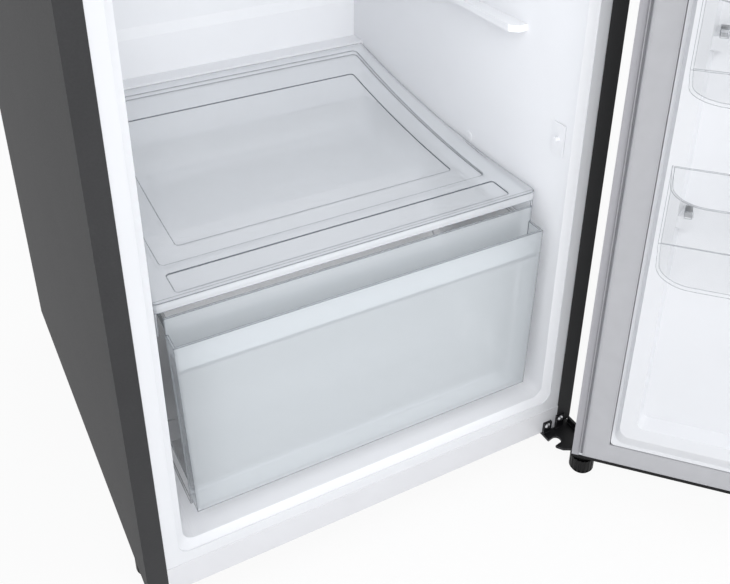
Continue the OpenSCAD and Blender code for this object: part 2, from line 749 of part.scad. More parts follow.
module drain_tube() {
    color([0.85, 0.85, 0.83]) difference() {
        union() {
            drain_route(0);
            rod_y([pot_x, freezer_d - 2, inlet_z], inlet_r + 3, 2);
        }
        rod_y([pot_x, freezer_d - 3, inlet_z], inlet_r - 1.5, drain_y - freezer_d + 3);
        rod_z([pot_x, drain_y, drain_end - 1], drain_r - 1.5, inlet_z - drain_end + 5);
    }
}

// Machine space
pot_y = cab_d - pot_back;
mount_x = pot_r - 10;
mount_y = pot_r - 20;
module compressor() {
    z0 = tray_top + mount_h;
    color([0.08, 0.08, 0.09]) translate([pot_x, pot_y, z0]) {
        rotate_extrude() polygon(concat([[0, 0], [pot_r - 10, 0], [pot_r - 3, 6], [pot_r - 3, pot_h * 0.42],
            [pot_r, pot_h * 0.42], [pot_r, pot_h * 0.48], [pot_r - 3, pot_h * 0.48],
            [pot_r - 3, pot_h * 0.7]],
            [for (a = [15 : 15 : 90]) [(pot_r - 3) * cos(a), pot_h * (0.7 + 0.3 * sin(a))]]));
        difference() {
            for (s = [-1, 1]) block(-mount_x - 14, mount_x + 14, s * mount_y - 12, s * mount_y + 12, 0, 3);
            for (x = [-mount_x, mount_x], y = [-mount_y, mount_y]) rod_z([x, y, -1], 6, 5);
        }
        block(pot_r - 8, pot_r + 24, -22, 22, pot_h * 0.2, pot_h * 0.6);
    }
}
module compressor_mounts() {
    color([0.12, 0.12, 0.12]) for (x = [-mount_x, mount_x], y = [-mount_y, mount_y])
        translate([pot_x + x, pot_y + y, tray_top]) difference() {
            union() {
                cylinder(r = 11, h = mount_h);
                cylinder(r = 5.9, h = mount_h + 3);
                rod_z([0, 0, mount_h + 3], 9, 3);
            }
            rod_z([0, 0, -1], 3, mount_h + 10);
        }
}
module compressor_tray() {
    edge = half_w - sheet - foam_gap;
    color([0.55, 0.56, 0.58]) difference() {
        union() {
            block(-edge, edge, tray_y0, tray_y1, tray_z, tray_top);
            both() {
                block(edge - 2, edge, tray_y0, tray_y1, tray_z, tray_z + 30);
                for (s = [-1, 1]) translate([roller_x + s * (roller_w / 2 + 1.6), 0, 0])
                    block(-1, 1, roller_y - 12, roller_y + 12, roller_r - 8, tray_top);
            }
        }
        both() rod_x([roller_x - roller_w, roller_y, roller_r], roller_pin + fit, 2 * roller_w);
        for (x = [-mount_x, mount_x], y = [-mount_y, mount_y])
            rod_z([pot_x + x, pot_y + y, tray_z - 1], 3, 5);
    }
}
tray_y0 = pot_y - mount_y - 24;
tray_y1 = cab_d - 12;
roller_x = half_w - roller_in;
roller_y = cab_d - roller_back;
roller_pin = 3;
module roller() {
    color([0.1, 0.1, 0.1]) {
        difference() {
            rod_x([roller_x - roller_w / 2, roller_y, roller_r], roller_r, roller_w);
            for (s = [-1, 1]) rod_x([roller_x + s * roller_w / 2 - 1.5, roller_y, roller_r], roller_r - 5, 3);
        }
        rod_x([roller_x - roller_w / 2 - 3.6, roller_y, roller_r], roller_pin, roller_w + 7.2);
        rod_x([roller_x - roller_w / 2 - 0.3, roller_y, roller_r], 6, roller_w + 0.6);
    }
}
module rear_roller_left() { mirror([1, 0, 0]) roller(); }
module rear_roller_right() { roller(); }
riser_x = 150;
riser_y = cab_d - 45;
riser_up = 30;
module refrigerant_pipes() {
    z0 = tray_top + mount_h;
    color([0.72, 0.43, 0.25]) difference() {
        union() {
            pipe([[pot_x + pot_r + 30, pot_y + 40, z0 + 30], [riser_x - 60, pot_y + 40, z0 + 30],
                [riser_x, pot_y + 40, z0 + 90], [riser_x, riser_y, z0 + 120],
                [riser_x, riser_y, machine_z + riser_up - 6]], pipe_r);
            pipe([[pot_x + 40, pot_y + 40, z0 + 30], [pot_x + pot_r + 30, pot_y + 40, z0 + 30]], pipe_r);
            translate([pot_x + pot_r + 30, pot_y + 40, z0 + 30]) sphere(pipe_r);
            rod_z([riser_x, riser_y, z0 + 125], 9, 38);
        }
        translate([pot_x, pot_y, z0]) cylinder(r = pot_r - 2.8, h = pot_h);
    }
}
module drain_pan() {
    color([0.15, 0.15, 0.16]) difference() {
        block(pot_x - 62, pot_x + 62, pot_y - 40, drain_y + 14, pan_z, pan_z + pan_h);
        block(pot_x - 60, pot_x + 60, pot_y - 38, drain_y + 12, pan_z + 2, pan_z + pan_h + 1);
    }
}
gland_x = half_w - 87.5;
gland_z = 74;
gland_r = 7;
module rear_cover() {
    slot_step = (half_w - 52.5) / 9;
    color([0.45, 0.46, 0.47]) difference() {
        block(-half_w + 0.5, half_w - 0.5, back_y, cab_d, skirt_z + 4, machine_top + 5.5);
        for (i = [-9 : 9], j = [3 : 5]) block(i * slot_step - 8, i * slot_step + 8, back_y - 1, cab_d + 1,
            j * 35, j * 35 + 14);
        rod_y([gland_x, back_y - 1, gland_z], gland_r, 5);
        screw_holes();
    }
}
module cord_gland() {
    color([0.1, 0.1, 0.1]) difference() {
        union() {
            rod_y([gland_x, back_y - 4, gland_z], gland_r - fit, 5);
            rod_y([gland_x, cab_d, gland_z], gland_r + 3, 2);
            rod_y([gland_x, back_y - 4, gland_z], gland_r + 2, 4);
        }
        rod_y([gland_x, back_y - 6, gland_z], 3.5, 12);
    }
}

// Lower hinge: a plate under the cabinet's corner with two lugs in front of the rail
boss_r = 14;
lug_w = 11;
web_out = 24;
slot_r = 6;
slot_y = -18.8;
module lower_hinge() {
    x0 = half_w - 44;
    x1 = half_w;
    color([0.09, 0.09, 0.095]) difference() {
        union() {
            translate([0, 0, rail_z - hinge_t]) linear_extrude(hinge_t) difference() {
                union() {
                    polygon([[x0, sill_y1], [x0, -13], [x0 + 2.5, -28], [x0 + 7.5, -35],
                        [hinge_x - boss_r, -hinge_out + 4], [hinge_x, -hinge_out], [x1, -hinge_out],
                        [x1, sill_y1]]);
                    translate([hinge_x, -hinge_out]) circle(boss_r - 1.5);
                }
                translate([x0 + 9, slot_y]) circle(slot_r);
                polygon([[x0 - 1, slot_y + 4], [x0 + 8, slot_y + slot_r], [x0 + 8, slot_y - slot_r],
                    [x0 - 1, slot_y - 8]]);
                translate([hinge_x, -hinge_out]) circle(stud_r + fit);
            }
            for (p = lug_screws) block(p[0] - lug_w / 2, p[0] + lug_w / 2 + 1, -hinge_t, 0, rail_z - hinge_t,
                p[1] + 5);
            block(x1 - hinge_t, x1, -web_out, 0, rail_z - 1, rail_z + 8);
        }
        screw_holes();
    }
}
// The pin turns in the fridge door's bottom cap. Its collar carries the door
pin_top = door_z0 + pin_reach;
stud_top = door_z0 - 5;
module lower_hinge_pin() {
    color([0.16, 0.16, 0.17]) difference() {
        union() {
            rod_z([hinge_x, -hinge_out, rail_z], 12, door_z0 - seat - rail_z);
            rod_z([hinge_x, -hinge_out, rail_z], pin_r, pin_top - rail_z);
        }
        rod_z([hinge_x, -hinge_out, rail_z - 1], stud_r + fit, stud_top - rail_z + 2);
    }
}
module middle_hinge() {
    color([0.09, 0.09, 0.095]) difference() {
        union() {
            translate([0, 0, mid_z - hinge_t / 2]) linear_extrude(hinge_t) {
                polygon([[mid_x, 0], [mid_x, -14], [hinge_x - 8, -hinge_out - 6],
                    [hinge_x, -hinge_out], [half_w - 2, -hinge_out], [half_w - 2, 0]]);
                translate([hinge_x, -hinge_out]) circle(10);
            }
            block(mid_x, half_w - 26, -hinge_t, 0, mid_z - 14, mid_z + 14);
            rod_z([hinge_x, -hinge_out, door_z1 - pin_reach], small_pin_r,
                freezer_door_z0 - door_z1 + 2 * pin_reach);
            rod_z([hinge_x, -hinge_out, mid_z], 9, freezer_door_z0 - seat - mid_z);
        }
        screw_holes();
    }
}
module top_hinge() {
    color([0.09, 0.09, 0.095]) difference() {
        union() {
            translate([0, 0, cab_h]) linear_extrude(hinge_t) {
                polygon([[half_w - 92, 56], [half_w - 92, 20], [hinge_x - 10, -hinge_out],
                    [hinge_x, -hinge_out], [half_w - 4, -hinge_out + 4], [half_w - 16, 56]]);
                translate([hinge_x, -hinge_out]) circle(9);
            }
            rod_z([hinge_x, -hinge_out, freezer_door_z1 - pin_reach], small_pin_r,
                cab_h - freezer_door_z1 + pin_reach + 1);
        }
        screw_holes();
    }
}
hinge_cover_h = 20;
module top_hinge_cover() {
    x0 = half_w - 98;
    x1 = half_w - 1;
    color([0.33, 0.33, 0.34]) difference() {
        block(x0, x1, -hinge_out - 11, 62, cab_h + seat, cab_h + hinge_cover_h);
        block(x0 + 2, x1 - 2, -hinge_out - 10, 60, cab_h, cab_h + hinge_cover_h - 2);
    }
}
module screws() {
    color([0.75, 0.76, 0.78]) screw_places() {
        cylinder(r = screw_r, h = screw_len - 0.5);
        translate([0, 0, -2]) cylinder(r1 = screw_r * 1.2, r2 = screw_r * 2, h = 2);
    }
}

// A levelling foot: a ribbed knob with a stud
module foot(x, y, top) {
    ribs = 18;
    color([0.07, 0.07, 0.075]) translate([x, y, 0]) {
        difference() {
            union() {
                cylinder(r = foot_r - 2, h = 4);
                rod_z([0, 0, 3], foot_r, foot_h - 6);
                rod_z([0, 0, foot_h - 3], foot_r - 3, 3);
            }
            for (i = [0 : ribs - 1]) rotate([0, 0, i * 360 / ribs])
                rod_z([foot_r + 0.6, 0, 3.5], 1.6, foot_h);
        }
        cylinder(r = stud_r, h = top);
    }
}
module front_foot_left() { foot(foot_x, foot_y, skirt_z - 0.8); }
module front_foot_right() { foot(hinge_x, -hinge_out, stud_top); }

// Crisper drawer: a stepped bin behind a hollow front
bin_y0 = front_y + front_deep + seat;
bin_floor = floor_z + bin_z;
bin_top = floor_z + front_z + front_h;
bin_turn = step_turn(hump_y0, hump_y1, floor_z, hump_z);
// The bin's outline, moved in by g
function bin_outline(g, top) = concat(
    [[bin_y0 + g, top], [bin_y0 + g, bin_floor + g]],
    rise(hump_y0 - bin_gap * bin_turn + (bin_z - bin_gap) / tan(atan2(hump_rise, hump_y1 - hump_y0)),
        hump_y1 - bin_gap * bin_turn, bin_floor, hump_z + bin_gap, g),
    [[bin_back - g, hump_z + bin_gap + g], [bin_back - g, top]]);
module crisper_bin() {
    color([0.8, 0.88, 0.92, 0.5]) {
        difference() {
            intersection() {
                across(-bin_half, bin_half, bin_outline(0, bin_top));
                linear_extrude(bin_top) rounded(-bin_half, bin_half, bin_y0, bin_back, 8);
            }
            intersection() {
                across(-bin_half + clear_t, bin_half - clear_t, bin_outline(clear_t, bin_top + 1));
                linear_extrude(bin_top + 2) rounded(-bin_half + clear_t, bin_half - clear_t,
                    bin_y0 + clear_t, bin_back - clear_t, 6);
            }
        }
        both() {
            block(bin_half - 0.5, bin_half + bin_rim, bin_y0 + 10, bin_back - 10, bin_top - clear_t, bin_top);
            block(bin_half - clear_t, bin_half, bin_y0 + 6, hump_y0 - 20, floor_z + seat, bin_floor + 0.5);
        }
    }
}
// The drawer front: a face that narrows downwards, two sides, a bottom, and a channel behind the
// face's top for the fingers. The channel's back wall closes the gap up to the cover's lip
front_top = wall_half - front_gap;
front_low = front_top - front_taper;
front_bottom = floor_z + front_z;
front_up = front_bottom + front_h;
screen_z = floor_z + cover_z - cover_lip - 3.5;
module front_shape(g, y0, y1) {
    translate([0, y1, 0]) rotate([90, 0, 0]) linear_extrude(y1 - y0) polygon([
        [-front_low + g, front_bottom + g], [front_low - g, front_bottom + g],
        [front_top - g, front_up + (g > 0 ? 1 : 0)], [-front_top + g, front_up + (g > 0 ? 1 : 0)]]);
}
module crisper_front() {
    y1 = front_y + front_deep;
    face_back = front_y + clear_t;
    wall_y = y1 - clear_t;
    low_z = front_up - channel_h;
    high_z = low_z + channel_rise;
    color([0.8, 0.88, 0.92, 0.5]) {
        difference() {
            front_shape(0, front_y, y1);
            intersection() {
                front_shape(clear_t, front_y - 1, y1 + 1);
                union() {
                    across(-front_top, front_top, [[face_back, low_z], [wall_y, high_z],
                        [wall_y, front_up + 2], [face_back, front_up + 2]]);
                    across(-front_top, front_top, [[face_back, front_bottom],
                        [face_back, low_z - clear_t], [y1 + 2, high_z - clear_t],
                        [y1 + 2, front_bottom + front_flange], [wall_y, front_bottom + front_flange],
                        [wall_y, front_bottom]]);
                }
            }
        }
        block(-front_top, front_top, wall_y, y1, front_up - 1, screen_z);
    }
}

// Crisper cover: a clear deck that rises to the back, with a lip, skirts and moulded lines
cover_back = ledge_y - cover_gap;
tray_half = wall_half - tray_in;
tray_back = cover_back - 14;
panel_half = wall_half - panel_in;
panel_back = ledge_y - panel_end;
module cover_plan(side, y0, y1, r) {
    polygon(concat(
        [for (a = [180 : 15 : 270]) [-wall_at(y0) + side + r + r * cos(a), y0 + r + r * sin(a)]],
        [for (a = [270 : 15 : 360]) [wall_at(y0) - side - r + r * cos(a), y0 + r + r * sin(a)]],
        [[wall_at(y1) - side, y1], [-wall_at(y1) + side, y1]]));
}
module crisper_cover() {
    color([0.82, 0.9, 0.94, 0.5]) difference() {
        union() {
            intersection() {
                across(-half_w, half_w, cover_band(cover_y, cover_back, 0, cover_t));
                linear_extrude(cab_h) cover_plan(cover_gap + 2, cover_y, cover_back, 10);
            }
            intersection() {
                across(-half_w, half_w, tray_band(tray_y - clear_t, tray_back + clear_t, -line_t, cover_t));
                linear_extrude(cab_h) rounded(-tray_half - clear_t, tray_half + clear_t,
                    tray_y - clear_t, tray_back + clear_t, 9);
            }
            intersection() {
                block(-skirt_half, skirt_half, cover_y, cover_y + 5, floor_z + cover_z - cover_lip,
                    floor_z + cover_z + 2);
                linear_extrude(cab_h) cover_plan(cover_gap + 2, cover_y, cover_back, 10);
            }
            both() across(skirt_half - clear_t, skirt_half, [
                [cover_y + 2, floor_z + cover_z - skirt_drop],
                [cover_y + skirt_len - 10, floor_z + cover_z - skirt_drop],
                [cover_y + skirt_len - 10, cover_top(cover_y + skirt_len - 10) - 1],
                [cover_rise_y, floor_z + cover_z - 1], [cover_y + 2, floor_z + cover_z - 1]]);
        }
        intersection() {
            across(-half_w, half_w, tray_band(tray_y - 1, tray_back + 1, 5, 0));
            linear_extrude(cab_h) rounded(-tray_half, tray_half, tray_y, tray_back, 6.5);
        }
        intersection() {
            across(-half_w, half_w, tray_band(panel_y - 2, panel_back + 2, 5, line_t));
            linear_extrude(cab_h) rounded(-panel_half, panel_half, panel_y, panel_back, 5);
        }
        translate([0, 0, floor_z + cover_z - line_t]) linear_extrude(5)
            rounded(-tray_half, tray_half, cover_y + 12, tray_y - tray_land, 4);
    }
}

// Glass shelves with their trims
trim_h = 10;
module shelf_glass(level) {
    z = floor_z + level;
    color([0.75, 0.86, 0.84, 0.5])
        block(-shelf_half, shelf_half, shelf_y + 4, shelf_back - 4, z, z + glass_t);
}
module shelf_trim(level) {
    z = floor_z + level;
    color([0.9, 0.92, 0.94]) difference() {
        union() {
            block(-shelf_half, shelf_half, shelf_y, shelf_y + 16, z - trim_h + glass_t + 2, z + glass_t + 2);
            block(-shelf_half, shelf_half, shelf_back - 14, shelf_back, z - 2, z + glass_t + trim_h);
        }
        block(-half_w, half_w, shelf_y + 4, shelf_back - 4, z, z + glass_t);
        both() block(rail_half - 1.5, half_w, shelf_y - 7, shelf_back + 1, z - trim_h, z);
    }
}
module lower_shelf_glass() { shelf_glass(rail_levels[1]); }
module lower_shelf_trim() { shelf_trim(rail_levels[1]); }
module upper_shelf_glass() { shelf_glass(rail_levels[2]); }
module upper_shelf_trim() { shelf_trim(rail_levels[2]); }
// The freezer's shelf stands on two side legs
freezer_shelf_z = 165;
freezer_shelf_y = 100;
module freezer_shelf() {
    half = freezer_wall_at(panel_wall_y) - 3;
    slot_step = (half - 36) / 7;
    y1 = panel_wall_y - 6;
    slot_len = (y1 - freezer_shelf_y) / 2 - 35;
    z = freezer_floor + freezer_shelf_z;
    color([0.93, 0.94, 0.95]) {
        difference() {
            block(-half, half, freezer_shelf_y, y1, z, z + 4);
            for (i = [-7 : 7], y = [freezer_shelf_y + 25, (freezer_shelf_y + y1) / 2 + 10])
                block(i * slot_step - 7, i * slot_step + 7, y, y + slot_len, z - 1, z + 5);
        }
        both() block(half - 24, half - 20, freezer_shelf_y, y1, freezer_floor + seat, z + 0.5);
        block(-half, half, freezer_shelf_y - 4, freezer_shelf_y + 0.5, z - 8, z + 8);
    }
}

// Doors. Outline in plan, moved in by g
module door_plan(g) {
    rounded(-half_w + g, half_w - g, face_y + g, margin_y - g - 12, door_r - min(g, door_r - 1));
    translate([-half_w + g, face_y + door_r + 2]) square([cab_w - 2 * g, margin_y - g - face_y - door_r - 2]);
}
module door_skin(z0, z1) {
    color([0.3, 0.3, 0.305]) translate([0, 0, z0 + cap_t]) linear_extrude(z1 - z0 - 2 * cap_t) difference() {
        door_plan(0);
        door_plan(sheet);
        translate([-half_w + margin_w, liner_y - 1]) square([cab_w - 2 * margin_w, 4]);
    }
}
// An end cap: a strip as wide as the door, and a plug inside the skin
module door_cap(z0, up) {
    s = up ? 1 : -1;
    translate([0, 0, z0]) mirror([0, 0, up ? 0 : 1]) {
        linear_extrude(cap_t) door_plan(0);
        linear_extrude(cap_plug) intersection() {
            door_plan(sheet + foam_gap);
            translate([-half_w, face_y]) square([cab_w, liner_y - liner_t - foam_gap - face_y]);
        }
    }
}
module grip(z, h) {
    block(-half_w + 24, -half_w + 24 + grip_w, face_y + 8, face_y + 8 + grip_deep, z, z + h);
}
// The land, the dyke on it and the field inside it, moved in by g. The dyke's lower side slopes most
module door_relief(z0, z1, half, g) {
    land = dyke_in + land_w;
    top = land + dyke_lean;
    difference() {
        union() {
            hull() {
                slab(half - dyke_in - g, z0 + dyke_in + g, z1 - dyke_in - g, liner_y - liner_t / 2, 5);
                slab(half - dyke_in - 0.5 - g, z0 + dyke_in + 0.5 + g, z1 - dyke_in - 0.5 - g, land_y - g, 5);
            }
            hull() {
                slab(half - land - g, z0 + land + g, z1 - land - g, land_y - 1 - g, 12);
                slab(half - top - g, z0 + dyke_low + g, z1 - top - g, dyke_y - g, 14);
            }
        }
        hull() {
            slab(half - dyke_inner + g, z0 + dyke_low + dyke_w - g, z1 - dyke_inner + g, dyke_y + 1, 8);
            slab(half - dyke_inner - 5 + g, z0 + dyke_low + dyke_w + 8 - g, z1 - dyke_inner - 8 + g,
                margin_y + 5 - g, 8);
        }
    }
}
// Blocks on the dyke's inner sides that carry the bins' hooks
module bin_blocks(levels, half) {
    for (z = levels) both() block(half - dyke_inner - 16, half - dyke_inner + 1, margin_y + 4, dyke_y - 3,
        z + hook_z - 14, z + hook_z - seat);
}
module door_liner(z0, z1, half, levels) {
    color([0.95, 0.95, 0.95]) {
        difference() {
            union() {
                block(-half_w + sheet + foam_gap, half_w - sheet - foam_gap, liner_y - liner_t, liner_y,
                    z0 + cap_t + foam_gap, z1 - cap_t - foam_gap);
                door_relief(z0, z1, half, 0);
                bin_blocks(levels, half);
            }
            difference() {
                door_relief(z0, z1, half, liner_t);
                block(-half_w, half_w, liner_y - 5, liner_y, 0, cab_h);
            }
            intersection() {
                translate([0, -liner_t - thin, 0]) door_relief(z0, z1, half, liner_t);
                block(-half_w, half_w, liner_y - 5, liner_y + 1, 0, cab_h);
            }
        }
    }
}
module door_foam(z0, z1, half) {
    g = foam_gap;
    color([0.93, 0.88, 0.7]) {
        translate([0, 0, z0 + cap_plug + g]) linear_extrude(z1 - z0 - 2 * cap_plug - 2 * g) intersection() {
            door_plan(sheet + g);
            translate([-half_w, face_y]) square([cab_w, liner_y - liner_t - g - face_y]);
        }
        translate([0, -liner_t - 0.3, 0]) door_relief(z0, z1, half, liner_t + g + 0.2);
    }
}
// A door's seal: a thin edge and a body with its ends set in a little more
module door_gasket(z0, z1, low, high) {
    ring_step = 1.3;
    color([0.76, 0.76, 0.77]) difference() {
        union() {
            seal_ring(z0 + low, z1 - high, margin_w + foam_gap, liner_y, liner_y + 4);
            seal_ring(z0 + low + ring_step, z1 - high - ring_step, margin_w + seal_edge, liner_y + 3,
                -seal_gap);
        }
        seal_inner(z0, z1);
    }
}
module seal_ring(z0, z1, inset, y0, y1) {
    block(-half_w + inset, half_w - inset, y0, y1, z0, z1);
}
module seal_inner(z0, z1) {
    inset = margin_w + seal_w;
    end_step = 1.5;
    block(-half_w + inset, half_w - inset, liner_y - 1, 1, z0 + inset - end_step, z1 - inset + end_step);
}
// A clear bin with rounded front corners and two hooks behind it
module door_bin(z, half, body_half) {
    y0 = dyke_y + seat;
    hook_x = body_half - dyke_inner - 14;
    color([0.82, 0.9, 0.94, 0.5]) {
        translate([0, 0, z]) difference() {
            linear_extrude(door_bin_h) bin_plan(half, y0, 0);
            translate([0, 0, clear_t]) linear_extrude(door_bin_h) bin_plan(half, y0, clear_t);
        }
        both() block(hook_x, hook_x + 7, margin_y + 8, y0 + 1, z + hook_z, z + hook_z + 8);
    }
}
module bin_plan(half, y0, g) {
    inner = half - door_bin_r;
    turn_y = y0 + door_bin_d - door_bin_r;
    translate([-half + g, y0 + g]) square([2 * (half - g), turn_y - y0 - g]);
    translate([-inner, y0 + g]) square([2 * inner, door_bin_d - 2 * g]);
    for (s = [-1, 1]) translate([s * inner, turn_y]) circle(door_bin_r - g);
}
// Turns the fridge door about its hinge axis to where it stands at rest
module swing() {
    translate([hinge_x, -hinge_out, 0]) rotate([0, 0, door_open]) translate([-hinge_x, hinge_out, 0])
        children();
}
module fridge_door_skin() { swing() door_skin(door_z0, door_z1); }
module fridge_door_bottom_cap() {
    swing() color([0.06, 0.06, 0.065]) difference() {
        door_cap(door_z0, true);
        rod_z([hinge_x, -hinge_out, door_z0 - 1], pin_r + fit, pin_reach + 2);
    }
}
module fridge_door_top_cap() {
    swing() color([0.06, 0.06, 0.065]) difference() {
        door_cap(door_z1, false);
        rod_z([hinge_x, -hinge_out, door_z1 - pin_reach - 1], small_pin_r + fit, pin_reach + 2);
        grip(door_z1 - cap_plug + 3, cap_plug);
    }
}
module fridge_door_foam() { swing() door_foam(door_z0, door_z1, half_w); }
module fridge_door_liner() { swing() door_liner(door_z0, door_z1, half_w, bin_levels); }
module fridge_door_gasket() { swing() door_gasket(door_z0, door_z1, cap_t + foam_gap, seal_end); }
module fridge_door_bin_low() { swing() door_bin(bin_levels[0], door_bin_half, half_w); }
module fridge_door_bin_middle() { swing() door_bin(bin_levels[1], door_bin_half, half_w); }
module fridge_door_bin_high() { swing() door_bin(bin_levels[2], door_bin_half, half_w); }
freezer_body = half_w - freezer_rim + rim;
door_bin_half = half_w - door_bin_in;
freezer_bin_half = freezer_body - freezer_bin_in;
module freezer_door_skin() { door_skin(freezer_door_z0, freezer_door_z1); }
module freezer_door_bottom_cap() {
    color([0.06, 0.06, 0.065]) difference() {
        door_cap(freezer_door_z0, true);
        rod_z([hinge_x, -hinge_out, freezer_door_z0 - 1], small_pin_r + fit, pin_reach + 2);
        grip(freezer_door_z0 - 3, cap_plug);
    }
}
module freezer_door_top_cap() {
    color([0.06, 0.06, 0.065]) difference() {
        door_cap(freezer_door_z1, false);
        rod_z([hinge_x, -hinge_out, freezer_door_z1 - pin_reach - 1], small_pin_r + fit, pin_reach + 2);
    }
}
module freezer_door_foam() { door_foam(freezer_door_z0, freezer_door_z1, freezer_body); }
module freezer_door_liner() {
    door_liner(freezer_door_z0, freezer_door_z1, freezer_body, [freezer_bin_level]);
}
module freezer_door_gasket() { door_gasket(freezer_door_z0, freezer_door_z1, seal_end, seal_end); }
module freezer_door_bin() { door_bin(freezer_bin_level, freezer_bin_half, freezer_body); }

// Puts the origin under the middle of the cabinet
module place() { translate([0, -cab_d / 2, 0]) children(); }

place() cabinet_wrapper();
place() back_panel();
place() base_plate();
place() front_sill();
place() cabinet_foam();
place() bottom_rail();
place() mullion_strip();
place() fridge_liner();
place() freezer_liner();
place() control_housing();
place() lamp_lens();
place() switch_housing();
place() freezer_back_panel();
place() fan_motor();
place() evaporator();
place() drain_tube();
place() compressor();
place() compressor_mounts();
place() compressor_tray();
place() refrigerant_pipes();
place() drain_pan();
place() rear_cover();
place() cord_gland();
place() lower_hinge();
place() lower_hinge_pin();
place() middle_hinge();
place() top_hinge();
place() top_hinge_cover();
place() screws();
place() front_foot_left();
place() front_foot_right();
place() rear_roller_left();
place() rear_roller_right();
place() crisper_bin();
place() crisper_front();
place() crisper_cover();
place() lower_shelf_glass();
place() lower_shelf_trim();
place() upper_shelf_glass();
place() upper_shelf_trim();
place() freezer_shelf();
place() fan_blade();
place() control_knob();
place() switch_button();
place() fridge_door_skin();
place() fridge_door_bottom_cap();
place() fridge_door_top_cap();
place() fridge_door_foam();
place() fridge_door_liner();
place() fridge_door_gasket();
place() fridge_door_bin_low();
place() fridge_door_bin_middle();
place() fridge_door_bin_high();
place() freezer_door_skin();
place() freezer_door_bottom_cap();
place() freezer_door_top_cap();
place() freezer_door_foam();
place() freezer_door_liner();
place() freezer_door_gasket();
place() freezer_door_bin();
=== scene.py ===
import math

import bmesh
import bpy
from mathutils import Matrix, Vector


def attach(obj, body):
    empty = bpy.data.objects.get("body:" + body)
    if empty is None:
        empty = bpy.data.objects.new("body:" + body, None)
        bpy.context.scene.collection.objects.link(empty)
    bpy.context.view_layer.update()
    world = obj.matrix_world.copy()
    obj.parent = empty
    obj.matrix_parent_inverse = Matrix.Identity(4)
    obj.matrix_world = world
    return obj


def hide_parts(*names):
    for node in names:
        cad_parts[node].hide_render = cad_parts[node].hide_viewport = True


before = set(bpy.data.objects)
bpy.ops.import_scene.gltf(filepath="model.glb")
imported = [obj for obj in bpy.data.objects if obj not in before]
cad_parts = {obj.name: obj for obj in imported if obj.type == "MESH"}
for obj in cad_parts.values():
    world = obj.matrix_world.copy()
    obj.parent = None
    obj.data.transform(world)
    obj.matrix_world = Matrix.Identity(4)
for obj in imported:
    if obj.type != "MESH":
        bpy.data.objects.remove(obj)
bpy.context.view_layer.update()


# The viewpoint: standing to the left of the open door and looking down into the compartment.
# The picture was cut out of a taller one, so the lens is shifted.
camera_data = bpy.data.cameras.new("viewpoint")
camera_data.sensor_width = 36.0
camera_data.lens = 46.23
camera_data.shift_x = 0.0092
camera_data.shift_y = -0.1848
camera_data.clip_start = 0.05
camera = bpy.data.objects.new("viewpoint", camera_data)
camera.location = (-0.3842, -0.937, 0.9144)
camera.rotation_euler = (math.radians(90 - 28.81), 0, math.radians(-28.03))
bpy.context.scene.collection.objects.link(camera)
bpy.context.scene.camera = camera


# Cabinet wrapper and door skins: sheet steel with a dark enamel baked on over an embossed
# leather grain. One sheet is folded round the cabinet, and one round each door.
class Wire:
    """One socket of a finish, which adds and scales like a number."""

    def __init__(self, tree, socket):
        self.tree = tree
        self.socket = socket

    def node(self, kind, settings=None, sockets=None, out=0):
        made = self.tree.nodes.new("ShaderNode" + kind)
        for name, value in (settings or {}).items():
            if name == "stops":
                stops = made.color_ramp.elements
                while len(stops) < len(value):
                    stops.new(1.0)
                for stop, (position, shade) in zip(stops, value):
                    stop.position = position
                    stop.color = (*shade, 1.0)
            else:
                setattr(made, name, value)
        for name, value in (sockets or {}).items():
            if isinstance(value, Wire):
                self.tree.links.new(value.socket, made.inputs[name])
            else:
                made.inputs[name].default_value = value
        return Wire(self.tree, made.outputs[out])

    def math(self, operation, first, second):
        return self.node("Math", {"operation": operation}, {0: first, 1: second})

    def __add__(self, other):
        return self.math("ADD", self, other)

    def __rsub__(self, other):
        return self.math("SUBTRACT", other, self)

    def __mul__(self, other):
        return self.math("MULTIPLY", self, other)

    __radd__ = __add__
    __rmul__ = __mul__

    def dot(self, other):
        return self.node("VectorMath", {"operation": "DOT_PRODUCT"}, {0: self, 1: other}, "Value")

    def tint(self, low, high):
        """A colour between low and high, by this value."""
        return self.blend((*low, 1), (*high, 1))

    def blend(self, low, high):
        return self.node("Mix", {"data_type": "RGBA"}, {"Factor": self, "A": low, "B": high}, "Result")

    def relief(self, height, strength=1.0):
        """A normal from this value as a height in metres."""
        return self.node("Bump", None, {"Height": self, "Distance": height, "Strength": strength}, "Normal")


def grey(level):
    """An sRGB level of 0 to 255 as a linear number."""
    value = level / 255
    return value / 12.92 if value <= 0.04045 else ((value + 0.055) / 1.055) ** 2.4


def shade(red, green, blue):
    return (grey(red), grey(green), grey(blue))


def new_finish(name, **plain):
    """A material, its place on the object in metres, and a way to link its shader's sockets."""
    material = bpy.data.materials.new(name)
    material.use_nodes = True
    tree = material.node_tree
    shader = tree.nodes["Principled BSDF"]
    for socket, value in plain.items():
        shader.inputs[socket.replace("_", " ")].default_value = value
    place = Wire(tree, None).node("TexCoord", out="Object")

    def link(**sockets):
        for socket, value in sockets.items():
            tree.links.new(value.socket, shader.inputs[socket.replace("_", " ")])
        return material

    return place, link


def dress(material, *nodes):
    for node in nodes:
        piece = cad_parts[node]
        piece.data.materials.clear()
        piece.data.materials.append(material)


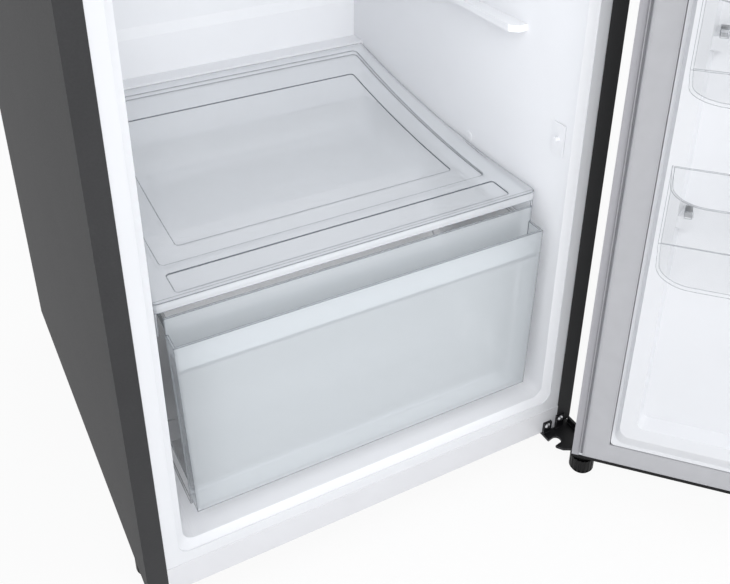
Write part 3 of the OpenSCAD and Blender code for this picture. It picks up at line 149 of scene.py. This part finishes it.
def steel_finish(name, inward):
    """Grained enamel. The side that faces inward is smoother, and it is painted paler with streaks as painted
    light, for the light that falls on it.
    """
    place, link = new_finish(name, Specular_IOR_Level=0.14)
    cells = place.node("TexVoronoi", {"feature": "SMOOTH_F1"}, {"Vector": place, "Scale": 520.0}, "Distance")
    folds = place.node("TexNoise", None, {"Vector": place, "Scale": 900.0, "Detail": 2.0}, "Fac")
    cloud = place.node("TexNoise", None, {"Vector": place, "Scale": 14.0, "Detail": 3.0}, "Fac")
    streak = place.node("Mapping", None, {"Vector": place, "Scale": (260.0, 260.0, 6.0)})
    streak = place.node("TexNoise", None, {"Vector": streak, "Scale": 1.0, "Detail": 2.0}, "Fac")
    facing = place.node("TexCoord", out="Normal").dot(inward)
    lit_side_mask = facing.math("GREATER_THAN", facing, 0.9)
    hide = cells * 0.7 + folds * 0.3
    dark = (hide * 0.5 + cloud * 0.5).tint(shade(57, 57, 58), shade(70, 70, 71))
    # Painted light: the faces turned inward get this pale, streaked colour for the light that falls on them.
    painted_light_tone = streak.tint(shade(170, 169, 173), shade(186, 185, 189))
    return link(
        Base_Color=lit_side_mask.blend(dark, painted_light_tone),
        Roughness=hide * 0.15 + 0.55,
        Normal=(hide * (1 - lit_side_mask * 0.7)).relief(0.00025, 0.5),
    )


door_turn = math.radians(133.2)
dress(steel_finish("grained_steel", (0, 0, -1)), "cabinet_wrapper")
door_inward = (-math.sin(door_turn), math.cos(door_turn), 0)
dress(steel_finish("grained_steel_fridge_door", door_inward), "fridge_door_skin")
dress(steel_finish("grained_steel_freezer_door", (0, 1, 0)), "freezer_door_skin")


# Back panel, stepped floor, machine tray and rear cover: galvanised sheet. The zinc sets in flat
# grains, and the back panel has raised bands pressed into it that stiffen it.
place, link = new_finish("zinc_sheet", Metallic=0.75)
grain = place.node("TexVoronoi", None, {"Vector": place, "Scale": 85.0}, "Color")
grain = grain.dot((0.5, 0.3, 0.2))
cloud = place.node("TexNoise", None, {"Vector": place, "Scale": 20.0, "Detail": 3.0}, "Fac")
band = place.node("TexWave", {"bands_direction": "Z", "wave_profile": "SIN"},
                  {"Vector": place, "Scale": 1.6}, "Fac")
band = band.node("MapRange", {"interpolation_type": "SMOOTHSTEP"},
                 {"Value": band, "From Min": 0.72, "From Max": 0.86})
zinc_sheet = link(
    Base_Color=(grain * 0.6 + cloud * 0.4).tint(shade(138, 141, 144), shade(172, 175, 178)),
    Roughness=grain * 0.2 + 0.36,
    Normal=(band * 1.0 + cloud * 0.05).relief(0.002, 0.6),
)
dress(zinc_sheet, "back_panel", "base_plate", "compressor_tray", "rear_cover")


# Insulating foam in the cabinet and both doors: rigid, pale yellow, with a closed skin.
place, link = new_finish("foam_fill", Roughness=0.9)
cells = place.node("TexVoronoi", None, {"Vector": place, "Scale": 420.0}, "Distance")
cloud = place.node("TexNoise", None, {"Vector": place, "Scale": 12.0, "Detail": 3.0}, "Fac")
foam_fill = link(
    Base_Color=(cells * 0.3 + cloud * 0.7).tint(shade(214, 198, 150), shade(238, 226, 184)),
    Normal=cells.relief(0.0006, 0.5),
)
dress(foam_fill, "cabinet_foam", "fridge_door_foam", "freezer_door_foam")


# Bottom rail and the strip between the doors: smooth pale enamel on folded steel, clipped
# between the wrapper's front flanges.
place, link = new_finish("pale_enamel", Roughness=0.3)
cloud = place.node("TexNoise", None, {"Vector": place, "Scale": 25.0, "Detail": 2.0}, "Fac")
ripple = place.node("TexNoise", None, {"Vector": place, "Scale": 160.0, "Detail": 1.0}, "Fac")
pale_enamel = link(
    Base_Color=cloud.tint(shade(226, 226, 229), shade(232, 232, 235)),
    Roughness=cloud * 0.08 + 0.27,
    Normal=ripple.relief(0.0001, 0.2),
)
dress(pale_enamel, "bottom_rail", "mullion_strip")


# Liners: white plastic sheet drawn into a mould, so it has a soft sheen and the faintest
# waves. They fill the cabinet's and the doors' insides.
place, link = new_finish("drawn_white_sheet", Roughness=0.3)
cloud = place.node("TexNoise", None, {"Vector": place, "Scale": 9.0, "Detail": 2.0}, "Fac")
wave = place.node("TexNoise", None, {"Vector": place, "Scale": 90.0, "Detail": 1.0}, "Fac")
drawn_white_sheet = link(
    Base_Color=cloud.tint(shade(232, 233, 236), shade(238, 239, 242)),
    Roughness=cloud * 0.1 + 0.26,
    Normal=wave.relief(0.0002, 0.15),
)
dress(drawn_white_sheet, "fridge_liner", "freezer_liner", "fridge_door_liner", "freezer_door_liner",
      "control_housing", "switch_housing", "switch_button", "freezer_back_panel",
      "lower_shelf_trim", "upper_shelf_trim", "freezer_shelf")


# Temperature knob, fan blade and drain tube: light grey moulded plastic with a satin face. The knob
# and the blade are pushed onto their shafts, and the tube hangs under the evaporator.
place, link = new_finish("satin_grey_moulding", Roughness=0.4)
speck = place.node("TexNoise", None, {"Vector": place, "Scale": 500.0, "Detail": 2.0}, "Fac")
satin_grey_moulding = link(
    Base_Color=speck.tint(shade(196, 198, 201), shade(206, 208, 211)),
    Roughness=speck * 0.15 + 0.34,
    Normal=speck.relief(0.00008, 0.3),
)
dress(satin_grey_moulding, "control_knob", "drain_tube", "fan_blade")


# Plug in the fridge compartment's right wall: a flat white plastic button, pushed in from inside
# to close the hole that the liner is held by while foam is shot behind it.
def turned(name, profile, centre, axis, steps=40):
    """A piece turned from (radius, height) points round an axis, in metres."""
    mesh = bmesh.new()
    rings = []
    for radius, height in profile:
        if radius == 0:
            rings.append([mesh.verts.new((0, 0, height))] * steps)
        else:
            rings.append([mesh.verts.new((radius * math.cos(2 * math.pi * i / steps),
                                          radius * math.sin(2 * math.pi * i / steps), height))
                          for i in range(steps)])
    for low, high in zip(rings, rings[1:]):
        for i in range(steps):
            j = (i + 1) % steps
            corners = dict.fromkeys((low[i], low[j], high[j], high[i]))
            if len(corners) > 2:
                mesh.faces.new(list(corners))
    turn = Vector((0, 0, 1)).rotation_difference(Vector(axis)).to_matrix().to_4x4()
    mesh.transform(Matrix.Translation(centre) @ turn)
    return placed(name, mesh)


def placed(name, mesh, sharp=35):
    """Makes the object of a mesh whose place is in its points."""
    bmesh.ops.recalc_face_normals(mesh, faces=mesh.faces)
    data = bpy.data.meshes.new(name)
    mesh.to_mesh(data)
    mesh.free()
    data.shade_smooth()
    data.set_sharp_from_angle(angle=math.radians(sharp))
    made = bpy.data.objects.new(name, data)
    bpy.context.scene.collection.objects.link(made)
    return made


def finished(piece, material, body):
    piece.data.materials.append(material)
    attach(piece, body)


front = -0.2725
wall_front = 0.2328
wall_lean = 0.0158 / 0.4762


def wall_at(depth):
    """Half the compartment's width at a depth behind the cabinet's front, in metres."""
    return wall_front - wall_lean * (depth - 0.0088)


plug_depth = 0.188
plug_height = 0.372
plug = turned("wall_plug", [(0.0075, 0), (0.0075, 0.0007), (0.0068, 0.0013), (0.003, 0.0016), (0, 0.0017)],
              (wall_at(plug_depth) - 0.0001, front + plug_depth, plug_height), (-1, 0, 0.0))
finished(plug, drawn_white_sheet, "cabinet")


# Crisper drawer, its cover and the door bins: clear moulded polystyrene with a cool cast. Its edges
# carry thin grey lines of painted shade, and most of the light passes through the faces.
# The drawer's front and its cover are thicker, with a trace of haze, and the cover is stippled.
def clear_finish(name, face, edge_shade_colour, edge_width, body, edge_depth, stipple=0.0):
    """A clear sheet: its faces are nearly see-through, its edges are not and carry painted shade, and its
    shadow is pale.
    """
    place, link = new_finish(name, Roughness=0.12, IOR=1.45, Specular_IOR_Level=0.35)
    flow = place.node("TexNoise", None, {"Vector": place, "Scale": 30.0, "Detail": 1.0}, "Fac")
    plain = place.node("NewGeometry", out="Normal")
    round_edge = place.node("Bevel", {"samples": 6}, {"Radius": edge_width}, "Normal")
    edge = plain.math("MINIMUM", (1 - plain.dot(round_edge)) * 16.0, 1.0)
    steep = place.node("LayerWeight", None, {"Blend": 0.35}, "Facing")
    light_let_through = 1 - place.node("LightPath", out="Is Shadow Ray") * 0.8
    bump = flow
    if stipple:
        dots = place.node("TexVoronoi", None, {"Vector": place, "Scale": 300.0}, "Distance")
        bump = flow * 0.3 + dots * stipple
    return link(
        # The edges take the darker edge colour: painted shade for the light that bends in them.
        Base_Color=(edge + flow * 0.04).tint(face, edge_shade_colour),
        Alpha=(edge * edge_depth + steep * steep * 0.06 + flow * 0.02 + body) * light_let_through,
        Normal=bump.relief(0.0003, 0.05),
    )


clear_moulding = clear_finish("clear_moulding", shade(222, 226, 230), shade(112, 117, 124), 0.0014, 0.03, 0.75)
dress(clear_moulding, "crisper_bin", "fridge_door_bin_low", "fridge_door_bin_middle", "fridge_door_bin_high",
      "freezer_door_bin", "lamp_lens")
clear_front = clear_finish("clear_front", shade(204, 209, 213), shade(84, 89, 96), 0.0018, 0.4, 0.6)
dress(clear_front, "crisper_front")
clear_cover = clear_finish("clear_cover", shade(240, 243, 247), shade(84, 89, 96), 0.0018, 0.36, 0.6, 1.0)
dress(clear_cover, "crisper_cover")


# Shelves: toughened glass with ground edges that look green. Each pane lies in white plastic
# trims and slides on the liner's rails.
# The green tint is the glass's own, and the darkness of its edge lines is painted shade.
shelf_glass = clear_finish("shelf_glass", shade(205, 224, 218), shade(96, 146, 132), 0.0014, 0.06, 0.75)
dress(shelf_glass, "lower_shelf_glass", "upper_shelf_glass")


# Hinges and the sill: pressed steel in black enamel, with a painted highlight along its edges. The
# hinge pin and its collar are greyer, and stand in the lower plate.
def black_enamel_finish(name, low, high, painted_glint):
    place, link = new_finish(name, Specular_IOR_Level=0.3)
    speck = place.node("TexNoise", None, {"Vector": place, "Scale": 700.0, "Detail": 2.0}, "Fac")
    patch = place.node("TexNoise", None, {"Vector": place, "Scale": 90.0, "Detail": 2.0}, "Fac")
    plain = place.node("NewGeometry", out="Normal")
    round_edge = place.node("Bevel", {"samples": 6}, {"Radius": 0.0007}, "Normal")
    # The edges, in random patches, take the pale glint colour: a painted highlight.
    edge = plain.math("MINIMUM", (1 - plain.dot(round_edge)) * 6.0, 1.0) * patch
    return link(
        Base_Color=(edge * 0.9).blend(speck.tint(low, high), (*painted_glint, 1)),
        Roughness=speck * 0.2 + 0.36,
        Normal=speck.relief(0.00008, 0.3),
    )


black_enamel = black_enamel_finish("black_enamel", shade(14, 14, 16), shade(26, 26, 29), shade(150, 150, 154))
dress(black_enamel, "lower_hinge", "middle_hinge", "top_hinge", "front_sill")
hinge_grey = black_enamel_finish("hinge_grey", shade(66, 65, 70), shade(84, 82, 88), shade(150, 150, 154))
dress(hinge_grey, "lower_hinge_pin")


# Screws: steel plated with bright zinc, with a turned grain. They hold the hinge plates, the
# covers and the machine tray.
place, link = new_finish("screw_zinc", Metallic=1.0)
rings = place.node("TexNoise", None, {"Vector": place, "Scale": 1400.0, "Detail": 1.0}, "Fac")
screw_zinc = link(
    Base_Color=rings.tint(shade(176, 178, 182), shade(214, 215, 218)),
    Roughness=rings * 0.2 + 0.22,
)
dress(screw_zinc, "screws")


# Black mouldings: the doors' end caps, feet, rollers, cord gland, drain pan and fan motor. They are
# moulded in one colour right through, and snap or screw into place.
place, link = new_finish("black_moulding", Specular_IOR_Level=0.22)
speck = place.node("TexNoise", None, {"Vector": place, "Scale": 700.0, "Detail": 2.0}, "Fac")
black_moulding = link(
    Base_Color=speck.tint(shade(6, 6, 7), shade(13, 13, 14)),
    Roughness=speck * 0.2 + 0.3,
    Normal=speck.relief(0.00008, 0.3),
)
dress(black_moulding, "fridge_door_bottom_cap", "fridge_door_top_cap", "freezer_door_bottom_cap",
      "freezer_door_top_cap", "front_foot_left", "front_foot_right", "rear_roller_left",
      "rear_roller_right", "cord_gland", "drain_pan", "fan_motor")


# Top hinge's cover: a plastic lid in the same dark grey as the cabinet, with a fine grain. It
# snaps over the top hinge.
place, link = new_finish("dark_grey_moulding", Roughness=0.5)
speck = place.node("TexNoise", None, {"Vector": place, "Scale": 600.0, "Detail": 2.0}, "Fac")
dark_grey_moulding = link(
    Base_Color=speck.tint(shade(70, 70, 72), shade(80, 80, 82)),
    Normal=speck.relief(0.0001, 0.4),
)
dress(dark_grey_moulding, "top_hinge_cover")


# Compressor: a drawn steel shell in satin black enamel on rubber mounts, with copper pipes. The
# coil behind the freezer's panel is aluminium tube with pressed fins.
place, link = new_finish("compressor_enamel", Specular_IOR_Level=0.5, Coat_Weight=0.3)
speck = place.node("TexNoise", None, {"Vector": place, "Scale": 160.0, "Detail": 3.0}, "Fac")
compressor_enamel = link(
    Base_Color=speck.tint(shade(14, 14, 15), shade(24, 24, 26)),
    Roughness=speck * 0.2 + 0.28,
)
dress(compressor_enamel, "compressor")
place, link = new_finish("mount_rubber", Roughness=0.85)
speck = place.node("TexNoise", None, {"Vector": place, "Scale": 300.0, "Detail": 2.0}, "Fac")
mount_rubber = link(
    Base_Color=speck.tint(shade(24, 24, 24), shade(38, 38, 38)),
    Normal=speck.relief(0.0002, 0.4),
)
dress(mount_rubber, "compressor_mounts")
place, link = new_finish("drawn_copper", Metallic=1.0)
tarnish = place.node("TexNoise", None, {"Vector": place, "Scale": 60.0, "Detail": 4.0}, "Fac")
drawn_copper = link(
    Base_Color=tarnish.tint(shade(150, 88, 58), shade(204, 132, 96)),
    Roughness=tarnish * 0.3 + 0.2,
)
dress(drawn_copper, "refrigerant_pipes")
place, link = new_finish("mill_aluminium", Metallic=1.0)
rolled = place.node("Mapping", None, {"Vector": place, "Scale": (30.0, 900.0, 900.0)})
rolled = place.node("TexNoise", None, {"Vector": rolled, "Scale": 1.0, "Detail": 2.0}, "Fac")
mill_aluminium = link(
    Base_Color=rolled.tint(shade(178, 181, 184), shade(206, 209, 212)),
    Roughness=rolled * 0.25 + 0.3,
)
dress(mill_aluminium, "evaporator")


# Door seals: soft grey profile clipped round each door's inside, with a thin outer lip, a groove
# and a flat magnet cushion. The strips are cut at 45 degrees and welded at the corners. The
# profile's points are millimetres in from the door's edge and behind the cabinet's front.
place, link = new_finish("seal_rubber", Roughness=0.55, Specular_IOR_Level=0.3)
speck = place.node("TexNoise", None, {"Vector": place, "Scale": 60.0, "Detail": 2.0}, "Fac")
fine = place.node("TexNoise", None, {"Vector": place, "Scale": 800.0, "Detail": 1.0}, "Fac")
seal_rubber = link(Base_Color=speck.tint(shade(186, 186, 189), shade(194, 194, 197)),
                   Roughness=speck * 0.1 + 0.5, Normal=fine.relief(0.00005, 0.3))
hinge_axis = Vector((0.265, front - 0.0445, 0))
half_width = 0.2775
seal_profile = [(8.7, -10.7), (8.7, -7.6), (9.0, -7.0), (9.8, -6.9), (10.2, -7.6), (10.6, -9.0),
                (11.6, -9.4), (12.3, -8.0), (12.6, -3.4), (13.2, -1.7), (14.6, -0.8), (17.0, -0.5),
                (36.0, -0.5), (39.4, -0.7), (40.8, -1.0), (41.4, -1.8), (41.4, -3.2), (41.2, -8.8),
                (40.4, -10.7)]


lip_inset = 8.7
lip_width = 3.8
cushion_inset = lip_inset + lip_width
cushion_width = 28.7
end_reach = 39.7
end_step = 1.3


def end_inset(inset, lip):
    """Where a side's inset comes to lie at an end of the door, whose seal starts at lip."""
    cushion = lip + end_step
    if inset < cushion_inset:
        return lip + (inset - lip_inset) * (cushion - lip) / lip_width
    return cushion + (inset - cushion_inset) * (end_reach - cushion) / cushion_width


def door_seal(node, body, low, high, low_lip, high_lip, turn):
    mesh = bmesh.new()
    rings = []
    for inset, depth in seal_profile:
        side = half_width - inset / 1000
        z0 = low + end_inset(inset, low_lip) / 1000
        z1 = high - end_inset(inset, high_lip) / 1000
        rings.append([mesh.verts.new((x, front + depth / 1000, z))
                      for x, z in ((-side, z0), (side, z0), (side, z1), (-side, z1))])
    for ring, after in zip(rings, rings[1:] + rings[:1]):
        for i in range(4):
            j = (i + 1) % 4
            mesh.faces.new((ring[i], ring[j], after[j], after[i]))
    swing = Matrix.Translation(hinge_axis) @ Matrix.Rotation(turn, 4, "Z") @ Matrix.Translation(-hinge_axis)
    mesh.transform(swing)
    seal = placed(node.replace("gasket", "seal"), mesh, 30)
    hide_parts(node)
    finished(seal, seal_rubber, body)


fridge_ends = (0.047, 1.0685)
freezer_ends = (1.0765, 1.497)
door_seal("fridge_door_gasket", "fridge_door", *fridge_ends, 11.0, 14.5, door_turn)
door_seal("freezer_door_gasket", "freezer_door", *freezer_ends, 14.5, 14.5, 0.0)


# The studio: a white floor that keeps a faint shadow, and soft light from all round.
floor_mesh = bpy.data.meshes.new("studio_floor")
reach = 6.0
corners = [(-reach, -reach, 0), (reach, -reach, 0), (reach, reach, 0), (-reach, reach, 0)]
floor_mesh.from_pydata(corners, [], [(0, 1, 2, 3)])
floor = bpy.data.objects.new("studio_floor", floor_mesh)
bpy.context.scene.collection.objects.link(floor)
floor_finish = bpy.data.materials.new("studio_floor")
floor_finish.use_nodes = True
tree = floor_finish.node_tree
tree.nodes["Principled BSDF"].inputs["Base Color"].default_value = (0.9, 0.9, 0.9, 1)
tree.nodes["Principled BSDF"].inputs["Roughness"].default_value = 0.9
root = Wire(tree, None)
rays = ("Is Camera Ray", "Is Glossy Ray", "Is Transmission Ray")
first, second, third = [root.node("LightPath", out=ray) for ray in rays]
seen = (first + second + third) * 0.92
glow = root.node("Emission", None, {"Color": (1, 1, 1, 1), "Strength": 1.0})
plain_floor = Wire(tree, tree.nodes["Principled BSDF"].outputs[0])
mixed = root.node("MixShader", None, {0: seen, 1: plain_floor, 2: glow})
tree.links.new(mixed.socket, tree.nodes["Material Output"].inputs["Surface"])
floor_mesh.materials.append(floor_finish)

world = bpy.data.worlds.new("studio")
world.use_nodes = True
bpy.context.scene.world = world
tree = world.node_tree
root = Wire(tree, None)
seen = root.node("LightPath", out="Is Camera Ray") * 1.0
for ray in ("Is Transmission Ray", "Is Glossy Ray"):
    seen = seen.math("MAXIMUM", seen, root.node("LightPath", out=ray))
room = root.node("Background", None, {"Color": (0.95, 0.97, 1.0, 1), "Strength": 0.7}, 0)
white = root.node("Background", None, {"Color": (1, 1, 1, 1), "Strength": 1.0}, 0)
both = root.node("MixShader", None, {0: seen, 1: room, 2: white})
tree.links.new(both.socket, tree.nodes["World Output"].inputs["Surface"])


def add_lamp(name, power, width, height, place, target):
    lamp = bpy.data.lights.new(name, "AREA")
    lamp.energy = power
    lamp.shape = "RECTANGLE"
    lamp.size = width
    lamp.size_y = height
    held = bpy.data.objects.new(name, lamp)
    held.visible_camera = False
    held.visible_glossy = False
    held.location = place
    held.rotation_euler = (Vector(target) - Vector(place)).to_track_quat("-Z", "Y").to_euler()
    bpy.context.scene.collection.objects.link(held)


add_lamp("front_box", 37, 1.6, 1.6, (-0.35, -2.6, 2.0), (0.0, 0.0, 0.5))
add_lamp("compartment_fill", 0.8, 0.4, 0.9, (0.0, -0.285, 0.56), (0.0, 0.2, 0.56))
add_lamp("compartment_top", 0.12, 0.36, 0.2, (0.0, -0.2, 0.68), (0.0, -0.16, 0.3))

bpy.context.scene.view_settings.view_transform = "Standard"
bpy.context.view_layer.update()
